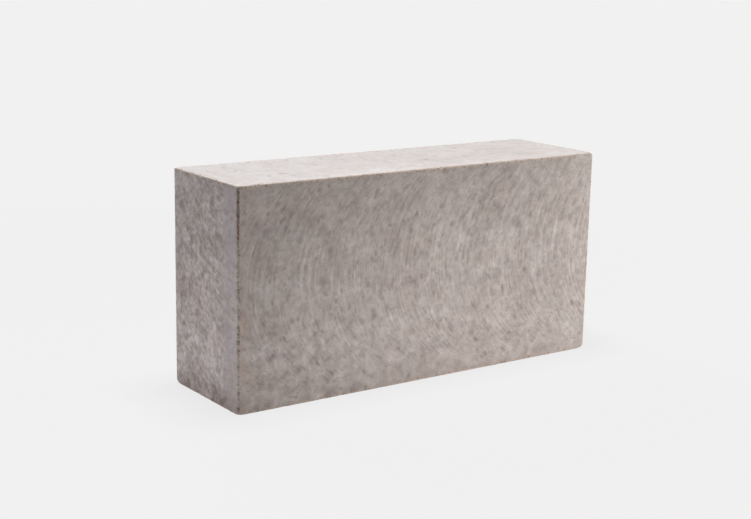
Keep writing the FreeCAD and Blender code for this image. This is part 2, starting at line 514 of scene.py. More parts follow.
def pit_depths(points, normals, shape, rng):
    """Depth of the pits that grains left where the wheel tore them out, each one drawn out
    along the wheel's arc. Returns the depth at each point."""
    size = BRICK_HIGH - BRICK_LOW
    depth = np.zeros(len(points))
    for (axis, far), kind in sorted(KIND_OF_SIDE.items()):
        facing = 1 if far else -1
        on_face = np.flatnonzero(normals[:, axis] * facing > ON_FACE)
        area = size[(axis + 1) % 3] * size[(axis + 2) % 3]
        for _ in range(rng.poisson(area / shape.pit_spacing**2)):
            centre = BRICK_LOW + rng.uniform(PIT_MARGIN, 1 - PIT_MARGIN, 3) * size
            half_length = rng.uniform(*PIT_HALF_LENGTH) * MILLIMETRE
            half_width = rng.uniform(*PIT_HALF_WIDTH) * MILLIMETRE
            deep = rng.uniform(*PIT_DEPTH) * MILLIMETRE
            along_arc = arc_direction(centre, kind, facing, shape)
            offset = points[on_face] - centre
            offset[:, axis] = 0
            run = offset @ along_arc
            side = np.linalg.norm(offset - run[:, None] * along_arc, axis=1)
            bowl = 1 - (run / half_length) ** 2 - (side / half_width) ** 2
            hit = bowl > 0
            depth[on_face[hit]] = np.maximum(depth[on_face[hit]], deep * np.sqrt(bowl[hit]))
    return depth


def brick_points(points, faces, shape):
    """The worn block's points, and what the finish reads at each: how far the arris has crumbled
    there, and how deep the point lies in a chip or a pit."""
    rng = np.random.default_rng(shape.seed)
    noise = SeededNoise(rng)
    points = round_arrises(points, shape)
    normals = point_normals(points, faces)
    rim = np.exp(-((arris_distance(points) / RIM_REACH) ** 2))

    facing = normals**2
    groove = np.zeros(len(points))
    for kind, (axis, _, _) in FACE_AXES.items():
        arcs, pitch_along, pitch_across = face_arcs(points, kind, shape)
        side_offset = KIND_OFFSET * (1 + kind) + SIDE_OFFSET * np.sign(normals[:, axis])
        groove += facing[:, axis] * groove_height(arcs, pitch_along, pitch_across, noise, side_offset)

    pits = pit_depths(points, normals, shape, rng)
    crumbs = crumbling(points, noise) * rim
    inward = shape.groove_depth * (1 - groove) * (1 - rim) + pits + shape.ragged_depth * crumbs
    points = points - normals * inward[:, None]
    scooped = scoop_chips(points, chip_places(shape, rng))
    points = np.clip(points, BRICK_LOW, BRICK_HIGH)
    marks = {
        "crumb": crumbs,
        "chip": np.clip(scooped / DARKEST_CHIP, 0, 1),
        "pit": np.clip(pits / DARKEST_PIT, 0, 1),
    }
    return points, marks


def make_mesh(name, points, faces):
    """A smooth-shaded mesh."""
    mesh = bpy.data.meshes.new(name)
    mesh.from_pydata(points.tolist(), [], faces.tolist())
    mesh.polygons.foreach_set("use_smooth", np.ones(len(faces), bool))
    mesh.update()
    return mesh


def add_marks(mesh, marks):
    """Keeps each mark with the mesh's points, where the finish reads it."""
    for name, values in marks.items():
        attribute = mesh.attributes.new(name, "FLOAT", "POINT")
        attribute.data.foreach_set("value", values.astype(np.float32))


# The finish

# What brings the noise node's spread to 1 at each level of detail.
NOISE_GAIN = {0: 8.1, 1: 11.2, 2: 13.3}
# How far the wheel moved on in its coarse and its finer passes, how far that wanders, and how far
# along an arc from its middle the marks can still be told apart, in millimetres.
WHEEL_FEED = 5.4
FINER_FEED = WHEEL_FEED / 2.13
FEED_WANDER = 1.1
ARC_RUN_LIMIT = {BED: 78.0, END: 105.0, EDGE: 60.0}
# How much of the crests the finer passes left.
FINER_CRESTS = 0.9
# Means of the crests' wave, of the pale lines and of the smudges, which are taken off them.
CRESTS_MEAN = 0.27
LINES_MEAN = 0.2
SMUDGES_MEAN = 0.16
# How far apart in the noise the arcs of opposite sides lie, for each millimetre between them.
SIDE_SLICE = 0.1
# How strongly each layer shows on each kind of face: the wheel's crests, its pale lines and fine
# scratches, the smudges between them and how long those are, the grain, the dapple, the clouds
# from small to large, the brownish warmth and flash, and the grains that the wheel cut. Those with
# "from" say where in the noise the two larger kinds of cloud and the flash start.
LOOKS = {
    BED: {
        "crests": 0.18,
        "lines": 0.25,
        "scratches": 0.1,
        "smudges": 0.35,
        "smudge_run": 6.0,
        "grain": 0.035,
        "dapple": 0.1,
        "clouds": (0.125, 0.09, 0.055),
        "clouds_from": ((200, 329, 705), (856, 185, 185)),
        "warmth": 0.1,
        "flash": 0.075,
        "flash_from": (390, 92, 858),
        "grains": 1.0,
    },
    END: {
        "crests": 0.05,
        "lines": 0.28,
        "scratches": 0.1,
        "smudges": 0.46,
        "smudge_run": 8.0,
        "grain": 0.08,
        "dapple": 0.24,
        "clouds": (0.19, 0.1, 0.09),
        "clouds_from": ((682, 250, 122), (378, 204, 573)),
        "warmth": 0.12,
        "grains": 1.0,
    },
    EDGE: {
        "crests": 0.02,
        "lines": 0.07,
        "scratches": 0.03,
        "smudges": 0.1,
        "smudge_run": 6.0,
        "grain": 0.01,
        "dapple": 0.045,
        "clouds": (0.048, 0.038, 0.045),
        "clouds_from": ((386, 302, 283), (434, 91, 495)),
        "warmth": 0.06,
        "flash": 0.06,
        "flash_from": (262, 745, 485),
        "grains": 0.55,
    },
}
# How strongly the marks show that belong to one part of a face, and the painted light put on one part of
# a face.
# This is painted light: the upper right of the beds and the right end of the top are made paler, as if
# lit more strongly there.
UPPER_RIGHT_PAINTED_LIGHT = 0.16
LOWER_LEFT_CLOUDS = 0.13
LOWER_LEFT_FADING = -0.5
CALM_FADING = -0.6
CALM_BLOOM = 0.15
FOOT_BLOTCHES = -1.6
# This is painted highlight: the top is made paler along its front arris.
FRONT_PAINTED_HIGHLIGHT = 0.1
LEFT_WARMTH = 0.08
LEFT_BLOOM = 0.25
# How often the outlines of the cut grains jog, how far they jog in millimetres, and how far in
# the noise that follows the arcs.
JOG_SCALE = 0.9
JOG = (1.4, 1.4, 1.4)
ARC_JOG = (0.9, 0.9, 0.9)
# How strongly the grains that the wheel cut show, and the warm tint of its lines.
GRAIN_SHOWS = {"dark": 0.55, "pale": 0.4, "rust": 0.3}
LARGE_GRAINS = 0.8
LINE_WARMTH = 0.4
# The worn line on the arrises: its tone, what an upright arris adds, which is painted highlight, and what
# the knocked one loses.
WORN_TONE = 0.6
UPRIGHT_PAINTED_HIGHLIGHT = 0.22
KNOCKED_TONE = -0.6
# The dark seam along the knocked arris: its width in millimetres and its tone, and what its
# upper end adds to both.
SEAM_WIDTH = 0.56
UPPER_SEAM_WIDTH = 0.64
SEAM_TONE = 0.48
UPPER_SEAM_TONE = 0.36
# How much noise makes the wear uneven.
UNEVEN = {"gap": 0.2, "height": 1.5, "seam": 0.12, "tone": 0.17, "crumb": 0.1}
# How dark the hollows are made.
DARKENING_IN = {"crumbled": 0.6, "notches": 0.57, "beads": 0.76, "pit": 0.35, "pinholes": 0.7}
# How rough the ground face is, and what its grain and its pale marks change in that.
ROUGHNESS = 0.72
GRAIN_ROUGHNESS = 0.03
MARK_ROUGHNESS = -0.1
# What rises and sinks in the fine relief, how strong that relief is, and its depth in metres.
RELIEF = {"marks": 1.2, "grain": 0.14, "pinholes": -0.8, "dark": -0.2, "pale": 0.15}
RELIEF_STRENGTH = 0.4
RELIEF_DEPTH = 0.0001
REFRACTIVE_INDEX = 1.5


class NodeBench:
    """Short ways to add nodes to a material. A value may be a number or another node's output."""

    def __init__(self, material):
        material.use_nodes = True
        self.tree = material.node_tree
        self.tree.nodes.clear()

    def add(self, kind, inputs=None, **settings):
        """A node with its settings and inputs, the inputs by name or number."""
        node = self.tree.nodes.new(kind)
        for name, value in settings.items():
            setattr(node, name, value)
        for key, value in (inputs or {}).items():
            if isinstance(value, bpy.types.NodeSocket):
                self.tree.links.new(value, node.inputs[key])
            else:
                node.inputs[key].default_value = value
        return node

    def math(self, operation, *values, clamp=False):
        """One step of arithmetic."""
        node = self.add("ShaderNodeMath", dict(enumerate(values)), operation=operation, use_clamp=clamp)
        return node.outputs[0]

    def product(self, *values):
        """The values multiplied together."""
        result, *others = values
        for value in others:
            result = self.math("MULTIPLY", result, value)
        return result

    def vector(self, x, y, z):
        """Three numbers as one vector."""
        return self.add("ShaderNodeCombineXYZ", {0: x, 1: y, 2: z}).outputs[0]

    def vector_math(self, operation, *values, scale=None):
        """One step of arithmetic on vectors, whose result is a vector or a plain number."""
        inputs = dict(enumerate(values))
        if scale is not None:
            inputs["Scale"] = scale
        node = self.add("ShaderNodeVectorMath", inputs, operation=operation)
        return node.outputs["Value" if operation in ("DOT_PRODUCT", "LENGTH") else "Vector"]

    def noise(self, place, size, detail=1, distortion=0.0):
        """Noise about 0 with a spread of 1. Its swells are about the size given."""
        inputs = {"Vector": place, "Scale": 1 / size, "Detail": detail, "Distortion": distortion}
        fac = self.add("ShaderNodeTexNoise", {**inputs, "Roughness": 0.5}).outputs["Fac"]
        return self.product(self.math("SUBTRACT", fac, 0.5), NOISE_GAIN[detail])

    def sum(self, fields):
        """The fields added up, each with its amount."""
        total = 0.0
        for field, amount in fields:
            total = self.math("MULTIPLY_ADD", field, amount, total)
        return total

    def crests(self, place, pitch):
        """Narrow crests one pitch apart, about 0 in the mean."""
        wave = self.math("COSINE", self.product(place, 2 * pi / pitch))
        narrow = self.math("POWER", self.math("MULTIPLY_ADD", wave, 0.5, 0.5), 4.0)
        return self.math("SUBTRACT", narrow, CRESTS_MEAN)

    def spots(self, place, spacing, size, chance, flat=False):
        """Scattered spots, up to 1 at their middles: a cell of the spacing holds one by chance.
        They are 0.4 to 1.2 times the size and 0.3 to 1 in strength, and fade out over 0.45 of
        their size. Flat ones leave the third coordinate out."""
        inputs = {"Vector": place, "Scale": 1 / spacing, "Randomness": 1.0}
        cells = self.add("ShaderNodeTexVoronoi", inputs, voronoi_dimensions="2D" if flat else "3D")
        draw = self.add("ShaderNodeSeparateColor", {0: cells.outputs["Color"]}).outputs
        chosen = self.math("LESS_THAN", draw["Red"], chance)
        strength = self.product(self.math("MULTIPLY_ADD", draw["Blue"], 0.7, 0.3), chosen)
        own_size = self.product(self.math("MULTIPLY_ADD", draw["Green"], 0.8, 0.4), size / spacing)
        edge = self.math("SUBTRACT", 1.0, self.math("DIVIDE", cells.outputs["Distance"], own_size))
        return self.product(self.ramp(edge, none_at=0.0, full_at=0.45), strength)

    def ramp(self, value, none_at, full_at):
        """0 at the first level and beyond it, 1 at the second one and beyond, smooth between.
        It falls with the value where the second level is the lower one."""
        inputs = {"Value": value, "From Min": none_at, "From Max": full_at}
        return self.add("ShaderNodeMapRange", inputs, interpolation_type="SMOOTHSTEP").outputs["Result"]

    def blend(self, amount, under, over):
        """Colour over on colour under, which are the Mix node's inputs 7 and 6."""
        return self.add("ShaderNodeMix", {0: amount, 6: under, 7: over}, data_type="RGBA").outputs[2]

    def coats(self, skin, *coats):
        """Coats of colour on a skin, each with its amount, from the undermost up."""
        for amount, rgb in coats:
            skin = self.blend(amount, skin, opaque(rgb))
        return skin

    def seen(self):
        """1 where the camera, a mirror or glass looks, and 0 for all other light."""
        path = self.add("ShaderNodeLightPath").outputs
        mirrored = self.math("MAXIMUM", path["Is Camera Ray"], path["Is Glossy Ray"])
        return self.math("MAXIMUM", mirrored, path["Is Transmission Ray"])

    def mark(self, name):
        """A mark kept with the mesh's points."""
        return self.add("ShaderNodeAttribute", attribute_name=name).outputs["Fac"]


class FaceBench(NodeBench):
    """A bench for one kind of ground face. It knows the place in millimetres, as a vector and as
    x, y and z, and the place on the wheel's arcs: along the feed, and run along the arc."""

    def __init__(self, material, kind, shape):
        super().__init__(material)
        self.kind = kind
        self.look = LOOKS[kind]
        coordinates = self.add("ShaderNodeTexCoord").outputs["Object"]
        self.place = self.vector_math("SCALE", coordinates, scale=1 / MILLIMETRE)
        axes = self.add("ShaderNodeSeparateXYZ", {0: self.place}).outputs
        self.x, self.y, self.z = axes
        # The right end is the left end turned round.
        self.turned = self.product(self.y, self.math("SIGN", self.x))
        axis, feed_axis, cross_axis = FACE_AXES[kind]
        across = self.turned if kind == END else axes[cross_axis]
        level, radius = (value / MILLIMETRE for value in wheel_on(kind, shape))
        lean = self.math("DIVIDE", self.math("SUBTRACT", across, level), radius)
        lean = self.math("MINIMUM", self.math("MAXIMUM", lean, -STEEPEST_LEAN), STEEPEST_LEAN)
        reach = self.math("SQRT", self.math("SUBTRACT", 1.0, self.product(lean, lean)))
        self.feed = self.math("MULTIPLY_ADD", reach, radius, axes[feed_axis])
        self.run = self.product(self.math("ARCSINE", lean), radius)
        # Each side's arcs come from their own slice of the noise.
        self.side = axes[axis]

    def along_arcs(self, across, along, slice_number):
        """A place in noise that is drawn out along the arcs."""
        return self.vector(
            self.math("DIVIDE", self.feed, across),
            self.math("DIVIDE", self.run, along),
            self.math("MULTIPLY_ADD", self.side, SIDE_SLICE, slice_number),
        )

    def arc_noise(self, across, along, slice_number):
        """Noise whose swells have the two sizes given, across the arcs and along them."""
        return self.noise(self.along_arcs(across, along, slice_number), size=1.0)

    def patches(self, across, along, slice_number, none_at, full_at):
        """Patches of that noise, from 0 at its one level to 1 at its other."""
        return self.ramp(self.arc_noise(across, along, slice_number), none_at, full_at)

    def from_place(self, offset):
        """The place, counted from elsewhere in the noise."""
        return self.vector_math("ADD", self.place, offset)


def opaque(rgb):
    """A colour property as red, green, blue and alpha."""
    return (*rgb, 1.0)


def arris_nodes(bench):
    """How far a place is from the nearest arris, in millimetres, and whether that arris is
    upright, from 0 to 1."""
    half = (BRICK_HIGH - BRICK_LOW) / 2 / MILLIMETRE
    from_ends = bench.math("SUBTRACT", half[0], bench.math("ABSOLUTE", bench.x))
    from_beds = bench.math("SUBTRACT", half[1], bench.math("ABSOLUTE", bench.y))
    from_middle = bench.math("ABSOLUTE", bench.math("SUBTRACT", bench.z, half[2]))
    from_edges = bench.math("SUBTRACT", half[2], from_middle)
    nearer = bench.math("MINIMUM", from_ends, from_beds)
    farther = bench.math("MAXIMUM", from_ends, from_beds)
    gap = bench.math("MAXIMUM", nearer, bench.math("MINIMUM", farther, from_edges))
    upright = bench.ramp(bench.math("SUBTRACT", from_edges, farther), none_at=0.5, full_at=2.0)
    return gap, upright


def wheel_marks(bench):
    """The wheel's marks: crests one feed apart, pale lines, fine scratches, and dark smudges that
    the lines bound. They come and go in patches and die out where the arcs crowd together.
    Returns the pale marks together, the lines alone and the smudges."""
    look = bench.look
    crowding = bench.math("DIVIDE", bench.math("ABSOLUTE", bench.run), ARC_RUN_LIMIT[bench.kind])
    clear = bench.ramp(crowding, none_at=0.95, full_at=0.55)
    wander = bench.arc_noise(across=14.0, along=60.0, slice_number=11.0)
    fed = bench.math("MULTIPLY_ADD", wander, FEED_WANDER, bench.feed)
    coarse, finer = (bench.crests(fed, pitch) for pitch in (WHEEL_FEED, FINER_FEED))
    crests = bench.math("MULTIPLY_ADD", finer, FINER_CRESTS, coarse)
    lines = bench.patches(across=1.6, along=50.0, slice_number=21.0, none_at=0.1, full_at=2.1)
    scratches = bench.arc_noise(across=0.75, along=34.0, slice_number=13.0)
    smudges = bench.patches(2.0, look["smudge_run"], slice_number=15.0, none_at=0.2, full_at=1.9)
    ruled = bench.patches(across=17.0, along=26.0, slice_number=14.0, none_at=-1.5, full_at=1.1)
    ruled = bench.product(clear, ruled)
    scored = bench.patches(across=10.0, along=20.0, slice_number=16.0, none_at=0.0, full_at=1.7)
    scored = bench.product(clear, scored)
    marks = bench.sum(
        (
            (bench.product(crests, ruled), look["crests"]),
            (bench.product(bench.math("SUBTRACT", lines, LINES_MEAN), ruled), look["lines"]),
            (bench.product(scratches, scored), look["scratches"]),
        )
    )
    smudges = bench.product(bench.math("SUBTRACT", smudges, SMUDGES_MEAN), clear)
    return marks, bench.product(lines, ruled), smudges


def face_tone(bench, marks, smudges):
    """How pale or dark the face is, about 0: the wheel's marks, the grain and the clouds, what belongs to
    one part of a face, and painted light: paler at the upper right of the beds and the right end of the
    top, and a painted highlight along the front of the top."""
    look, place = bench.look, bench.place
    small, middling, large = look["clouds"]
    middling_from, large_from = look["clouds_from"]
    small_clouds = bench.noise(place, size=6.5, distortion=0.5)
    tone = bench.sum(
        (
            (marks, 1.0),
            (smudges, -look["smudges"]),
            (bench.noise(place, size=0.95), look["grain"]),
            (bench.noise(place, size=2.6, distortion=0.4), look["dapple"]),
            (small_clouds, small),
            (bench.noise(bench.from_place(middling_from), size=15.0, distortion=0.5), middling),
            (bench.noise(bench.from_place(large_from), size=40.0), large),
        )
    )
    if bench.kind != END:
        # Painted light: the upper right of a bed and the right end of the top are made paler, as if lit
        # more strongly there.
        to_the_right = bench.ramp(bench.x, none_at=80.0, full_at=104.0)
        painted_light_upper_right = bench.product(to_the_right, bench.ramp(bench.z, none_at=66.0, full_at=90.0))
        tone = bench.math("MULTIPLY_ADD", painted_light_upper_right, UPPER_RIGHT_PAINTED_LIGHT, tone)
    if bench.kind == BED:
        to_the_left = bench.ramp(bench.x, none_at=-15.0, full_at=-75.0)
        lower_left = bench.product(to_the_left, bench.ramp(bench.z, none_at=62.0, full_at=20.0))
        fading = bench.product(marks, LOWER_LEFT_FADING)
        cloudier = bench.math("MULTIPLY_ADD", small_clouds, LOWER_LEFT_CLOUDS, fading)
        tone = bench.math("MULTIPLY_ADD", cloudier, lower_left, tone)
    elif bench.kind == END:
        calm = bench.math("MULTIPLY_ADD", calm_part(bench), CALM_FADING, 1.0)
        low = bench.ramp(bench.z, none_at=10.0, full_at=1.5)
        blotches = bench.ramp(bench.noise(place, size=5.5, detail=0), none_at=0.5, full_at=1.4)
        blotches = bench.product(blotches, low)
        tone = bench.math("MULTIPLY_ADD", blotches, FOOT_BLOTCHES, bench.product(tone, calm))
    else:
        # Painted highlight: the top is made paler in a strip along its front arris.
        from_front = bench.math("ADD", bench.y, BRICK_HIGH[1] / MILLIMETRE)
        near_front = bench.ramp(from_front, none_at=15.0, full_at=2.0)
        tone = bench.math("MULTIPLY_ADD", near_front, FRONT_PAINTED_HIGHLIGHT, tone)
    return tone


def calm_part(bench):
    """The smooth part of an end, from 0 to 1: the front of the left end, the back of the right."""
    return bench.ramp(bench.turned, none_at=10.0, full_at=27.0)


def fired_skin(bench, finish, tone, lines):
    """The colour of the fired and ground body, from its tone: darker and paler, warm along the
    wheel's lines, brownish where the fire flashed it, and bluish on the calm part of an end."""
    look, place = bench.look, bench.place
    skin = bench.coats(
        opaque(finish.body),
        (bench.math("MULTIPLY", tone, -1.0, clamp=True), finish.dark),
        (bench.math("MULTIPLY", tone, 1.0, clamp=True), finish.pale),
        (bench.product(lines, look["lines"] * LINE_WARMTH), finish.streak),
    )
    hue = bench.ramp(bench.noise(place, size=9.0, detail=2), none_at=-2.2, full_at=2.2)
    flashed = bench.product(hue, look["warmth"])
    if bench.kind != END:
        flash = bench.noise(bench.from_place(look["flash_from"]), size=110.0)
        flash = bench.ramp(flash, none_at=-1.2, full_at=2.2)
        flashed = bench.math("MULTIPLY_ADD", flash, look["flash"], flashed)
    if bench.kind == BED:
        from_left = bench.math("ADD", bench.x, BRICK_HIGH[0] / MILLIMETRE)
        left_part = bench.ramp(from_left, none_at=24.0, full_at=0.0)
        flashed = bench.math("MULTIPLY_ADD", left_part, LEFT_WARMTH, flashed)
        left_rim = bench.ramp(from_left, none_at=10.0, full_at=0.0)
        last = (bench.product(left_rim, LEFT_BLOOM), finish.arris)
        return bench.coats(skin, (flashed, finish.rust), last)
    if bench.kind == END:
        last = (bench.product(calm_part(bench), CALM_BLOOM), finish.cool)
        return bench.coats(skin, (flashed, finish.rust), last)
    return bench.coats(skin, (flashed, finish.rust))


def cut_grains(bench):
    """Spots with ragged outlines: the dark, pale and brown grains that the wheel cut through, the
    pinholes, and those that become notches in the arrises."""
    jog = bench.add("ShaderNodeTexNoise", {"Vector": bench.place, "Scale": JOG_SCALE, "Detail": 1.0})
    jog = jog.outputs["Color"]
    ragged = bench.vector_math("MULTIPLY_ADD", jog, JOG, bench.place)
    arcs = bench.along_arcs(across=1.0, along=1.4, slice_number=3.0)
    ragged_arcs = bench.vector_math("MULTIPLY_ADD", jog, ARC_JOG, arcs)
    dark = bench.spots(ragged_arcs, spacing=2.3, size=0.72, chance=0.5, flat=True)
    large = bench.spots(ragged_arcs, spacing=7.5, size=2.0, chance=0.35, flat=True)
    return {
        "dark": bench.math("MAXIMUM", dark, bench.product(large, LARGE_GRAINS)),
        "pale": bench.spots(ragged, spacing=3.3, size=0.7, chance=0.16),
        "rust": bench.spots(ragged, spacing=5.5, size=1.5, chance=0.14),
        "pinholes": bench.spots(ragged, spacing=3.3, size=0.62, chance=0.16),
        "notches": bench.spots(ragged, spacing=1.7, size=1.05, chance=0.7),
    }


def worn_skin(bench, finish, skin, grain, spots):
    """The skin with its wear: a worn line on the arrises with small notches, made paler on the upright
    arrises as painted highlight, the knocked left arris in front, and darker colour where they crumbled
    and in chips, pits and pinholes."""
    gap, upright = arris_nodes(bench)
    rough_gap = bench.math("MULTIPLY_ADD", grain, UNEVEN["gap"], gap)
    on_the_left = bench.math("LESS_THAN", bench.x, 0.0)
    in_front = bench.math("LESS_THAN", bench.y, 0.0)
    knocked = bench.product(on_the_left, in_front, upright)
    worn = bench.ramp(rough_gap, none_at=1.8, full_at=0.5)
    # Painted highlight: an upright arris gets a paler line than its wear alone gives.
    wear_and_highlight_tone = bench.math("MULTIPLY_ADD", upright, UPRIGHT_PAINTED_HIGHLIGHT, WORN_TONE)
    wear_and_highlight_tone = bench.math("MULTIPLY_ADD", knocked, KNOCKED_TONE, wear_and_highlight_tone)
    skin = bench.coats(skin, (bench.product(worn, wear_and_highlight_tone), finish.arris))

    uneven_height = bench.math("MULTIPLY_ADD", grain, UNEVEN["height"], bench.z)
    upper_end = bench.ramp(uneven_height, none_at=83.0, full_at=91.0)
    seam_width = bench.math("MULTIPLY_ADD", upper_end, UPPER_SEAM_WIDTH, SEAM_WIDTH)
    uneven_seam = bench.noise(bench.place, size=1.8)
    seam_gap = bench.math("MULTIPLY_ADD", uneven_seam, UNEVEN["seam"], rough_gap)
    seam = bench.ramp(bench.math("DIVIDE", seam_gap, seam_width), none_at=1.0, full_at=0.3)
    seam_tone = bench.math("MULTIPLY_ADD", upper_end, UPPER_SEAM_TONE, SEAM_TONE)
    uneven_tone = bench.noise(bench.place, size=1.5)
    seam_tone = bench.math("MULTIPLY_ADD", uneven_tone, UNEVEN["tone"], seam_tone, clamp=True)
    along_arris = bench.vector(bench.z, gap, 0.0)
    beads = bench.spots(along_arris, spacing=1.7, size=0.9, chance=0.75, flat=True)
    near_arris = bench.ramp(gap, none_at=1.5, full_at=0.8)
    off_arris = bench.ramp(gap, none_at=0.0, full_at=0.6)
    under_arris = bench.product(off_arris, bench.ramp(gap, none_at=2.6, full_at=1.3))
    uneven_crumb = bench.math("MULTIPLY_ADD", grain, UNEVEN["crumb"], bench.mark("crumb"))
    hollows = {
        "crumbled": bench.ramp(uneven_crumb, none_at=0.3, full_at=0.8),
        "notches": bench.product(spots["notches"], under_arris),
        "beads": bench.product(beads, bench.product(knocked, near_arris)),
        "pit": bench.mark("pit"),
        "pinholes": bench.product(spots["pinholes"], bench.look["grains"]),
    }
    # Chips, pits and the other hollows are made darker, chips and pits the more so the deeper they are.
    darkening = bench.product(bench.mark("chip"), bench.ramp(grain, none_at=-1.2, full_at=1.2))
    for name, hollow in hollows.items():
        darkening = bench.math("MAXIMUM", darkening, bench.product(hollow, DARKENING_IN[name]))
    darkening = bench.math("MAXIMUM", darkening, bench.product(seam, knocked, seam_tone))
    return bench.coats(skin, (darkening, finish.darkening))


def ground_finish(name, kind, shape, finish):
    """The finish of one kind of ground face: the fired body's mottle and grains, the wheel's
    arcs, and the worn arrises, chips and pits."""
    material = bpy.data.materials.new(name)
    bench = FaceBench(material, kind, shape)
    marks, lines, smudges = wheel_marks(bench)
    tone = face_tone(bench, marks, smudges)
    skin = fired_skin(bench, finish, tone, lines)
    grain = bench.noise(bench.place, size=1.1, detail=2)
    spots = cut_grains(bench)
    for colour_name, rgb in (("dark", finish.dark), ("pale", finish.fleck), ("rust", finish.rust)):
        amount = GRAIN_SHOWS[colour_name] * bench.look["grains"]
        skin = bench.coats(skin, (bench.product(spots[colour_name], amount), rgb))
    skin = worn_skin(bench, finish, skin, grain, spots)

    roughness = bench.math("MULTIPLY_ADD", grain, GRAIN_ROUGHNESS, ROUGHNESS)
    roughness = bench.math("MULTIPLY_ADD", marks, MARK_ROUGHNESS, roughness, clamp=True)
    raised = {**spots, "marks": marks, "grain": grain}
    relief = bench.sum([(raised[part], amount) for part, amount in RELIEF.items()])
    bump_inputs = {"Strength": RELIEF_STRENGTH, "Distance": RELIEF_DEPTH, "Height": relief}
    inputs = {
        "Base Color": skin,
        "Roughness": roughness,
        "Normal": bench.add("ShaderNodeBump", bump_inputs).outputs["Normal"],
        "IOR": REFRACTIVE_INDEX,
    }
    shader = bench.add("ShaderNodeBsdfPrincipled", inputs)
    bench.add("ShaderNodeOutputMaterial", {"Surface": shader.outputs["BSDF"]})
    return material


# The studio

# The lamps: place and size in metres, colour, and whether a lamp lights the brick alone, so that
# a small low one leaves no bright spot on the floor. Then the place that they all face.
LAMPS = {
    "top": ((0, 0, 0.7), 0.2, (0.92, 0.96, 1.0), False),
    "back": ((0, 0.9, 0.5), 0.6, (0.78, 0.85, 1.0), False),
    "right": ((0.3, -0.16, 0.04), 0.08, (1.0, 0.97, 0.94), True),
    "front": ((0.02, -0.2, 0.01), 0.04, (1.0, 0.91, 0.88), True),
    "left": ((-0.3, 0, 0.02), 0.04, (1.0, 0.9, 0.96), True),
}
LAMPS_AIM = (0, 0, 0.05)
# How far from the middle the floor starts to lose the lamps' light, and has lost it.
SHADE_FADES = 0.35
SHADE_ENDS = 0.7
SENSOR_WIDTH = 36.0


def power_of(lamp_name, studio):
    """A lamp's power in watts."""
    return getattr(studio, lamp_name + "_power")


def light_on_floor(bench, place, lamp_place, size, watts):
    """How bright a square lamp makes white paper at a place on the floor."""
    to_lamp = bench.vector_math("SUBTRACT", lamp_place, place)
    back = tuple(unit(np.subtract(lamp_place, LAMPS_AIM)))
    facing = bench.vector_math("DOT_PRODUCT", to_lamp, back)
    squared = bench.vector_math("DOT_PRODUCT", to_lamp, to_lamp)
    widened = bench.product(squared, bench.math("ADD", squared, size**2 / pi))
    spread = bench.math("DIVIDE", bench.math("MAXIMUM", facing, 0.0), widened)
    return bench.product(spread, watts * lamp_place[2] / pi**2)


def make_floor(studio):
    """A pale floor. The camera and mirrors see the background's colour, a little darker in
    the shadow round the brick, and everything else sees plain pale lit paper."""
    half = studio.floor_size / 2
    corners = [(-half, -half, 0), (half, -half, 0), (half, half, 0), (-half, half, 0)]
    mesh = bpy.data.meshes.new("studio_floor")
    mesh.from_pydata(corners, [], [(0, 1, 2, 3)])
    floor = bpy.data.objects.new("studio_floor", mesh)
    bpy.context.scene.collection.objects.link(floor)

    material = bpy.data.materials.new("floor_paper")
    bench = NodeBench(material)
    # The lamps light the floor round the brick unevenly, and the glow makes up for it.
    place = bench.add("ShaderNodeTexCoord").outputs["Object"]
    reach = bench.vector_math("LENGTH", place)
    near = bench.ramp(reach, none_at=SHADE_ENDS, full_at=SHADE_FADES)
    shade_share = bench.product(near, studio.shadow_share)
    light = studio.ambient
    for name, (lamp_place, size, _, brick_alone) in LAMPS.items():
        if not brick_alone:
            watts = power_of(name, studio)
            light = bench.math("ADD", light_on_floor(bench, place, lamp_place, size, watts), light)
    strength = bench.math("SUBTRACT", 1.0, bench.product(light, shade_share))
    glow = bench.add("ShaderNodeEmission", {"Color": opaque(studio.background), "Strength": strength})
    shade_colour = bench.vector_math("SCALE", tuple(studio.background), scale=shade_share)
    shade = bench.add("ShaderNodeBsdfDiffuse", {"Color": shade_colour})
    shown = bench.add("ShaderNodeAddShader", {0: glow.outputs[0], 1: shade.outputs[0]})
    paper = bench.add("ShaderNodeBsdfDiffuse", {"Color": opaque(studio.background)})
    mixed = bench.add("ShaderNodeMixShader", {0: bench.seen(), 1: paper.outputs[0], 2: shown.outputs[0]})
    bench.add("ShaderNodeOutputMaterial", {"Surface": mixed.outputs[0]})
    mesh.materials.append(material)


def make_world(studio):
    """Even light from all round, behind which the camera and mirrors see the background."""
    world = bpy.data.worlds.new("studio_world")
    bpy.context.scene.world = world
    bench = NodeBench(world)
    light = bench.add("ShaderNodeBackground", {"Strength": studio.ambient})
    behind = bench.add("ShaderNodeBackground", {"Color": opaque(studio.background), "Strength": 1.0})
    mixed = bench.add("ShaderNodeMixShader", {0: bench.seen(), 1: light.outputs[0], 2: behind.outputs[0]})
    bench.add("ShaderNodeOutputWorld", {"Surface": mixed.outputs[0]})


def make_lamp(name, place, size, watts, rgb, lights_only):
    """A square lamp that faces the brick, and may light only the objects in a collection."""
    data = bpy.data.lights.new(name, "AREA")
    data.shape = "SQUARE"
    data.size = size
    data.energy = watts
    data.color = rgb
    lamp = bpy.data.objects.new(name, data)
    facing = np.subtract(place, LAMPS_AIM)
    lamp.location = place
    lamp.rotation_euler = Matrix(look_along(facing)).to_euler()
    lamp.visible_camera = False
    lamp.light_linking.receiver_collection = lights_only
    bpy.context.scene.collection.objects.link(lamp)


def look_along(back):
    """Rows of the turn that points an object's own Z axis along back and keeps X level."""
    back = unit(np.array(back, float))
    right = unit(np.cross([0, 0, 1], back)) if abs(back[2]) < 0.999 else np.array([1.0, 0, 0])
    return np.stack([right, np.cross(back, right), back], axis=1).tolist()


